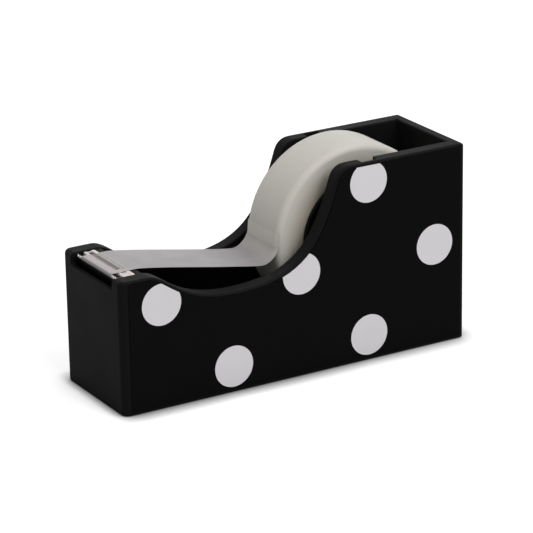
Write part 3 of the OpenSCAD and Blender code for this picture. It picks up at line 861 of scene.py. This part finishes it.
def strip_material():
    made, tree, shader = new_material("strip_film", Specular_IOR_Level=0.3)
    milky, scuffed, joined = (node(tree, "ShaderNodeAttribute", attribute_name=label).outputs["Fac"]
                              for label in ("milky", "scuffed", "joined"))
    cloud = noise(tree, object_place(tree), 160.0, 3.0)
    haze = noise(tree, object_place(tree), 3200.0, 3.0, 0.6)
    web = tint(tree, cloud, (0.455, 0.433, 0.44, 1), (0.515, 0.49, 0.5, 1))
    torn = tint(tree, haze, (0.52, 0.475, 0.47, 1), (0.68, 0.63, 0.62, 1))
    laid = tint(tree, joined, web, (0.77, 0.742, 0.675, 1))
    plug(tree, shader, {"Alpha": times(tree, milky, spread(tree, cloud, 0.3, 0.7, 0.94, 1.0))})
    wire(tree, shader, tint(tree, scuffed, laid, torn), spread(tree, haze, 0.3, 0.7, 0.4, 0.55),
         haze, 0.000006)
    return made


tape_film, strip_film = roll_material(), strip_material()
print("tape materials ready")

# %% Wind the roll
lines = bpy.data.meshes.new("tape_wound")
lines.from_pydata([(x * MM, y * MM, 0) for x, y in section],
                  [(i, (i + 1) % len(section)) for i in range(len(section))], [])
tape_wound = collection_add(bpy.data.objects.new("tape_wound", lines))
run_tree(tape_wound, winding_tree(), outer_radius=ROLL_R * MM, side_reach=TAPE_W / 2 * MM,
         unevenness=0.04 * MM, steps_round=160, seed=7, axle_place=at(AXLE_X, 0, AXLE_Z),
         material=tape_film)
smooth(tape_wound, 30)
report(tape_wound)

# %% [markdown]
# ## The cutter
# The blade is one strip of sheet steel. A press folds its foot, which the tape rest
# holds down, and grinds a row of teeth along its upper edge. The folded sheet is a
# thick line pushed across the housing. The teeth repeat, so Geometry Nodes place one
# tooth along a line of points, and grind its tip thin.

# %% The folded sheet
BLADE_T, BLADE_W, LEAN = 0.6, 26.8, math.radians(13)
TIP_Z, TOOTH_D, TOOTH_PITCH, FOLD_R = 42.6, 0.8, 1.1, 0.6
blade_middle = SEAT_Z + BLADE_T / 2
heel_x = LIP_T + 0.1 + BLADE_T / 2 + (TIP_Z - SEAT_Z) * math.tan(LEAN)
root_z = TIP_Z - TOOTH_D * math.cos(LEAN)
root_x = heel_x - (root_z - blade_middle) * math.tan(LEAN)


def thick(path, t):
    """Both sides of an open path, as one closed outline."""
    sides = [[], []]
    for i, p in enumerate(path):
        a, b = path[max(i - 1, 0)], path[min(i + 1, len(path) - 1)]
        along = Vector((b[0] - a[0], b[1] - a[1])).normalized()
        for k, side in enumerate((1, -1)):
            sides[k].append((p[0] - along.y * side * t / 2, p[1] + along.x * side * t / 2))
    return sides[0] + sides[1][::-1]


fold_x = heel_x + FOLD_R * math.tan((math.pi / 2 - LEAN) / 2)
sheet_path = ([(8.5, blade_middle), (6.0, blade_middle)]
              + arc(fold_x, blade_middle + FOLD_R, FOLD_R, -90, math.degrees(LEAN) - 180, 10)
              + [(root_x, root_z)])
blade = prism("blade_toothed", thick(sheet_path, BLADE_T), -BLADE_W / 2, BLADE_W / 2)
report(blade)

# %% The row of teeth
def teeth_tree():
    tree, given, result = open_tree("ground_teeth", "GeometryNodeTree", (
        ("Sheet", "Geometry", None), ("Teeth", "Int", 24), ("Pitch", "Float", TOOTH_PITCH * MM),
        ("Depth", "Float", TOOTH_D * MM), ("Thickness", "Float", BLADE_T * MM),
        ("Tip share", "Float", 0.3), ("Lean", "Float", LEAN), ("Root place", "Vector", None),
        ("Material", "Material", None)),
        ("Geometry",), "Geometry")
    triangle = node(tree, "GeometryNodeMeshCircle", {"Vertices": 3, "Radius": 1.0}, fill_type="NGON")
    third = calc(tree, "DIVIDE", given["Depth"], 3.0)
    sized = moved(tree, triangle, Translation=joint(tree, X=third),
                  Scale=joint(tree, X=times(tree, third, 2.0), Z=1.0,
                              Y=calc(tree, "DIVIDE", given["Pitch"], math.sqrt(3))))
    raised = node(tree, "GeometryNodeExtrudeMesh", {
        "Mesh": sized, "Offset Scale": given["Thickness"], "Individual": False})
    both = node(tree, "GeometryNodeJoinGeometry")
    for half in (raised, node(tree, "GeometryNodeFlipFaces", {"Mesh": sized})):
        plug(tree, both, {0: half})
    closed = node(tree, "GeometryNodeMergeByDistance", {"Geometry": both, "Distance": 1e-6})
    place = axes(tree, node(tree, "GeometryNodeInputPosition"))
    high = calc(tree, "DIVIDE", place["X"], given["Depth"])
    ground = times(tree, high, place["Z"], calc(tree, "SUBTRACT", given["Tip share"], 1.0))
    tooth = node(tree, "GeometryNodeSetPosition", {"Geometry": closed, "Offset": joint(tree, Z=ground)})
    reach = times(tree, calc(tree, "SUBTRACT", given["Teeth"], 1.0), given["Pitch"])
    row = node(tree, "GeometryNodeMeshLine", {
        "Count": given["Teeth"], "Start Location": joint(tree, Y=times(tree, reach, -0.5)),
        "Offset": joint(tree, Y=given["Pitch"])})
    teeth = node(tree, "GeometryNodeInstanceOnPoints", {"Points": row, "Instance": tooth})
    loose = node(tree, "GeometryNodeRealizeInstances", {0: teeth})
    middled = moved(tree, loose, Translation=joint(tree, Z=times(tree, given["Thickness"], -0.5)))
    tilt = calc(tree, "SUBTRACT", times(tree, given["Lean"], -1.0), math.pi / 2)
    stood = moved(tree, middled, Translation=given["Root place"], Rotation=joint(tree, Y=tilt))
    whole = node(tree, "GeometryNodeJoinGeometry")
    for part in (given["Sheet"], stood):
        plug(tree, whole, {0: part})
    return hand_over(tree, whole, given["Material"], result)


run_tree(blade, teeth_tree(), teeth=int(BLADE_W / TOOTH_PITCH), pitch=TOOTH_PITCH * MM,
         depth=TOOTH_D * MM, thickness=BLADE_T * MM, tip_share=0.16, lean=LEAN,
         root_place=at(root_x, 0, root_z), material=blade_steel)
smooth(blade, 30)
report(blade)

# %% [markdown]
# ## The tape rest
# The cut end of the tape sticks to a satin bar behind the blade. A groove runs along
# it, deep in the middle and shallow at the ends, so that a fingernail gets under the
# tape. The bar is lofted: one section is drawn for each station across the housing,
# and the groove's depth and the end's rounding change from station to station.

# %% Loft the bar
REST_X0, REST_X1, REST_Z0, REST_Z1 = 4.3, 8.5, 36.6, 42.8
GROOVE_X, GROOVE_W, GROOVE_D = 5.2, 1.7, 1.3


def rest_section(pull, depth):
    """A bar section, drawn in by pull all round, with its groove that deep."""
    x0, x1, z0, z1 = REST_X0 + pull, REST_X1 - pull, REST_Z0 + pull, REST_Z1 - pull
    r, g0, g1, e = 0.6, GROOVE_X, GROOVE_X + GROOVE_W, 0.15
    floor = z1 - depth
    wall_a = [(g0 - e, z1), (g0 - 0.3 * e, z1 - 0.3 * e), (g0, z1 - e), (g0, floor + e),
              (g0 + e, floor)]
    wall_b = [(g0 + g1 - x, z) for x, z in reversed(wall_a)]
    top = arc(x0 + r, z1 - r, r, 180, 90, 4) + wall_a + wall_b + arc(x1 - r, z1 - r, r, 90, 0, 4)
    return top + arc(x1 - r, z0 + r, r, 0, -90, 3) + arc(x0 + r, z0 + r, r, -90, -180, 3)


ends = [(0.0, 0.5), (0.12, 0.22), (0.35, 0.06), (0.7, 0.0)]
half = BLADE_W / 2
shallow = 0.2
bar_stations = ([(inset - half, pull, shallow) for inset, pull in ends]
                + [(-6.4, 0.0, shallow), (-5.6, 0.0, 0.75), (-4.6, 0.0, 1.1), (-3.4, 0.0, GROOVE_D),
                   (8.6, 0.0, GROOVE_D), (9.8, 0.0, 1.0), (10.9, 0.0, 0.45)]
                + [(half - inset, pull, shallow) for inset, pull in reversed(ends)])
rest_bar = loft("rest_bar", [[at(x, y, z) for x, z in rest_section(pull, depth)]
                             for y, pull, depth in bar_stations])
for x, y in PEGS:
    carve(rest_bar, rod("peg", x, y, PEG_R, 32.1, REST_Z0 + 0.2, 32), "UNION")
smooth(rest_bar, 35)
even_normals(rest_bar)
report(rest_bar)

# %% [markdown]
# ## The free strip
# The strip leaves the roll, dips across the cavity, crosses the rest and ends past
# the teeth, torn in their zigzag. It is a grid along that path, one row of points
# for each step, bent slightly across as real tape curls. Its torn end droops, and on
# the roll its edges hug the roll's rounded edges. The attributes are filled in on the
# way: scuffed white over the teeth, nearly clear where its glue has wetted the rest,
# and as solid as the roll where the two meet.

# %% Path of the strip
PEEL_R, LOW_Z, STRIP_T = 5.0, 35.2, 0.06
run_r = ROLL_R + STRIP_T
bend_z = LOW_Z + PEEL_R
dip = math.asin((bend_z - AXLE_Z) / (run_r + PEEL_R))
bend_x = AXLE_X - (run_r + PEEL_R) * math.cos(dip)
lie_z = REST_Z1 + STRIP_T
LAID_STEPS, LAID_TURN = 6, 8
leaves = 180 - math.degrees(dip)
path = ([Vector((1.4 + 0.35 * i, lie_z)) for i in range(26)]
        + curve(Vector((RIB_X1, lie_z)), Vector((RIB_X1 + 4, lie_z)), Vector((bend_x - 5, LOW_Z)),
                Vector((bend_x, LOW_Z)), 48)
        + [Vector(p) for p in arc(bend_x, bend_z, PEEL_R, -90, -math.degrees(dip), 18)[1:]]
        + [Vector(p) for p in arc(AXLE_X, AXLE_Z, run_r, leaves, leaves - LAID_TURN, LAID_STEPS)[1:]])
peel_index = len(path) - 1 - LAID_STEPS
print("strip points:", len(path), "length in mm:",
      round(sum((b - a).length for a, b in zip(path, path[1:])), 1))

# %% Lay the strip
def between(value, low, high):
    """0 below low, 1 above high, and even in between."""
    return max(0.0, min(1.0, (value - low) / (high - low)))


reach = int(TAPE_W / TOOTH_PITCH)
lines = [-TAPE_W / 2] + [c * TOOTH_PITCH / 2 for c in range(-reach, reach + 1)] + [TAPE_W / 2]
points = []
traits = {"milky": [], "scuffed": [], "joined": []}
for k, p in enumerate(path):
    for c, y in enumerate(lines):
        x, z = p.x, p.y
        across = 2 * y / TAPE_W
        z += 0.12 * across * across * between(x, 9, 22) * between(bend_x - x, 0, 10)
        if (c + reach) % 2:
            x += 1.1 * between(4.4 - x, 0, 3.0)
        nose = max(0.0, 2.6 - x)
        z -= 0.15 * nose * nose
        hug = between(k, peel_index - 9, peel_index + 1)
        past = min(0.82, max(0.0, (abs(y) - TAPE_W / 2) / EDGE_R + 1))
        inward = 0.82 * hug * EDGE_R * (1 - math.sqrt(1 - past * past))
        x += inward * (AXLE_X - x) / run_r
        z += inward * (AXLE_Z - z) / run_r
        points.append(at(x, y, z))
        wet = between(x, 4.3, 4.8) * between(7.9 - x, 0, 0.5) * between(y, -8.6, -7.6)
        bent = between(x, bend_x - 16, bend_x) * between(peel_index - 4 - k, 0, 8)
        free = (0.93 - 0.06 * between(x, 9, 14) - 0.25 * bent) * (1 - 0.72 * wet)
        traits["milky"].append(max(between(k, peel_index - 6, peel_index), free))
        traits["scuffed"].append(between(9.0 - x, 0, 2.0))
        traits["joined"].append(between(k, peel_index - 16, peel_index + 2))
n = len(lines)
faces = [(k + c, k + c + 1, k + n + c + 1, k + n + c)
         for k in range(0, n * (len(path) - 1), n) for c in range(n - 1)]
strip = piece_from("strip_free", points, faces)
for label, values in traits.items():
    strip.data.attributes.new(label, "FLOAT", "POINT").data.foreach_set("value", values)
body = strip.modifiers.new("thickness", "SOLIDIFY")
body.thickness, body.offset = STRIP_T * MM, 0
bake(strip)
smooth(strip, 60)
strip.data.materials.append(strip_film)
report(strip)

# %% Give the other new pieces their finish
for obj, material in ((housing, housing_plastic), (rest_bar, rest_metal)):
    obj.data.materials.clear()
    obj.data.materials.append(material)
print("finishes given")

# %% [markdown]
# ## Which body carries each piece
# The housing and the cutter stay put. The strip hangs from the axle's body, because
# it lifts out with the roll but doesn't turn with it. The roll turns on the spool.

# %% Ride the bodies
for obj, home, node_name, slot_name in (
        (housing, "base", "housing", "housing_plastic"),
        (blade, "base", "cutter_blade", "blade_steel"),
        (rest_bar, "base", "tape_rest", "rest_metal"),
        (tape_wound, "spool", "tape_roll", "tape_film"),
        (strip, "axle", "tape_strip", "strip_film")):
    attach(obj, home)
    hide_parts(node_name)
    print(obj.name, "rides on", home)

# %% [markdown]
# ## Studio
# The photograph was taken on a white sweep under broad soft light. The camera, and
# gloss that mirrors the room, see the world as plain white. The floor is pale, dim to
# gloss, and keeps the narrow shadow at the object's foot: ambient occlusion finds the
# points near the object and darkens them, less to the rear and least in front.

# %% Floor and world
def seen_white(tree, gloss):
    """1 for camera rays, gloss for glossy ones, 0 for the light that lands on things."""
    ray = node(tree, "ShaderNodeLightPath").outputs
    seen = calc(tree, "MAXIMUM", ray["Is Camera Ray"], times(tree, ray["Is Glossy Ray"], gloss))
    return calc(tree, "MAXIMUM", seen, ray["Is Transmission Ray"])


floor = piece_from("floor", [(-3, -3, 0), (3, -3, 0), (3, 3, 0), (-3, 3, 0)], [(0, 1, 2, 3)])
sweep = bpy.data.materials.new("sweep_paper")
sweep.use_nodes = True
tree = sweep.node_tree
tree.nodes.clear()
near = node(tree, "ShaderNodeAmbientOcclusion", {"Distance": 0.0068}, samples=8).outputs["AO"]
along = axes(tree, object_place(tree))["X"]
front = spread(tree, along, (FRONT - 3) * MM, FRONT * MM, 0.45, 2.0)
rear = spread(tree, along, 0.0, 50 * MM, 0.0, 0.6)
open_air = calc(tree, "POWER", near, calc(tree, "SUBTRACT", front, rear))
paper = node(tree, "ShaderNodeBsdfDiffuse", {"Color": tint(tree, open_air, grey(0.02), grey(0.68))})
glow = times(tree, seen_white(tree, 0.15), open_air, 0.65)
lift = node(tree, "ShaderNodeEmission", {"Strength": glow})
both = node(tree, "ShaderNodeAddShader", {0: paper, 1: lift})
node(tree, "ShaderNodeOutputMaterial", {"Surface": both})
floor.data.materials.append(sweep)

world = bpy.data.worlds.new("studio")
bpy.context.scene.world = world
world.use_nodes = True
tree = world.node_tree
strength = spread(tree, seen_white(tree, 1.0), 0.0, 1.0, 0.34, 1.0)
plug(tree, tree.nodes["Background"], {"Color": (1, 1, 1, 1), "Strength": strength})
print("floor and world ready")

# %% Soft lights
def softbox(name, place, look_at, width, height, power):
    data = bpy.data.lights.new(name, "AREA")
    data.shape, data.size, data.size_y, data.energy = "RECTANGLE", width, height, power
    lamp = collection_add(bpy.data.objects.new(name, data))
    back = (Vector(place) - Vector(look_at)).normalized()
    lamp.matrix_world = Matrix.Translation(place) @ back.to_track_quat("Z", "Y").to_matrix().to_4x4()
    return lamp


softbox("key_side", (0.3, -1.15, 1.2), (0, 0, 0.03), 1.2, 1.0, 12.5)
softbox("top_fill", (0.1, 0.1, 1.5), (0, 0, 0.03), 1.4, 1.4, 5.0)
print("lights ready")

# %% [markdown]
# ## Camera
# The view was worked out from the straight edges of the housing in the photograph: a
# long lens, 30 degrees round from the near side to the front, looking down about 20.

# %% Camera at the photograph's view
YAW, PITCH, ROLL = (math.radians(a) for a in (-30.398, 19.894, -0.993))
FOCAL_PX, FRAME_PX, SENSOR = 2915.9, 533, 36.0
back = Vector((math.sin(YAW) * math.cos(PITCH), -math.cos(YAW) * math.cos(PITCH), math.sin(PITCH)))
level = (-back).cross(Vector((0, 0, 1))).normalized()
up = level.cross(-back)
right = math.cos(ROLL) * level + math.sin(ROLL) * up
top = -math.sin(ROLL) * level + math.cos(ROLL) * up
lens = bpy.data.cameras.new("photo_view")
lens.sensor_width, lens.lens = SENSOR, FOCAL_PX * SENSOR / FRAME_PX
lens.clip_start, lens.clip_end = 0.05, 20
camera = collection_add(bpy.data.objects.new("photo_view", lens))
turned = Matrix((right, top, back)).transposed().to_4x4()
camera.matrix_world = Matrix.Translation((-0.4333, -0.7384, 0.3404)) @ turned
scene = bpy.context.scene
scene.camera = camera
scene.view_settings.view_transform = "Standard"
print("lens in mm:", round(lens.lens, 2))
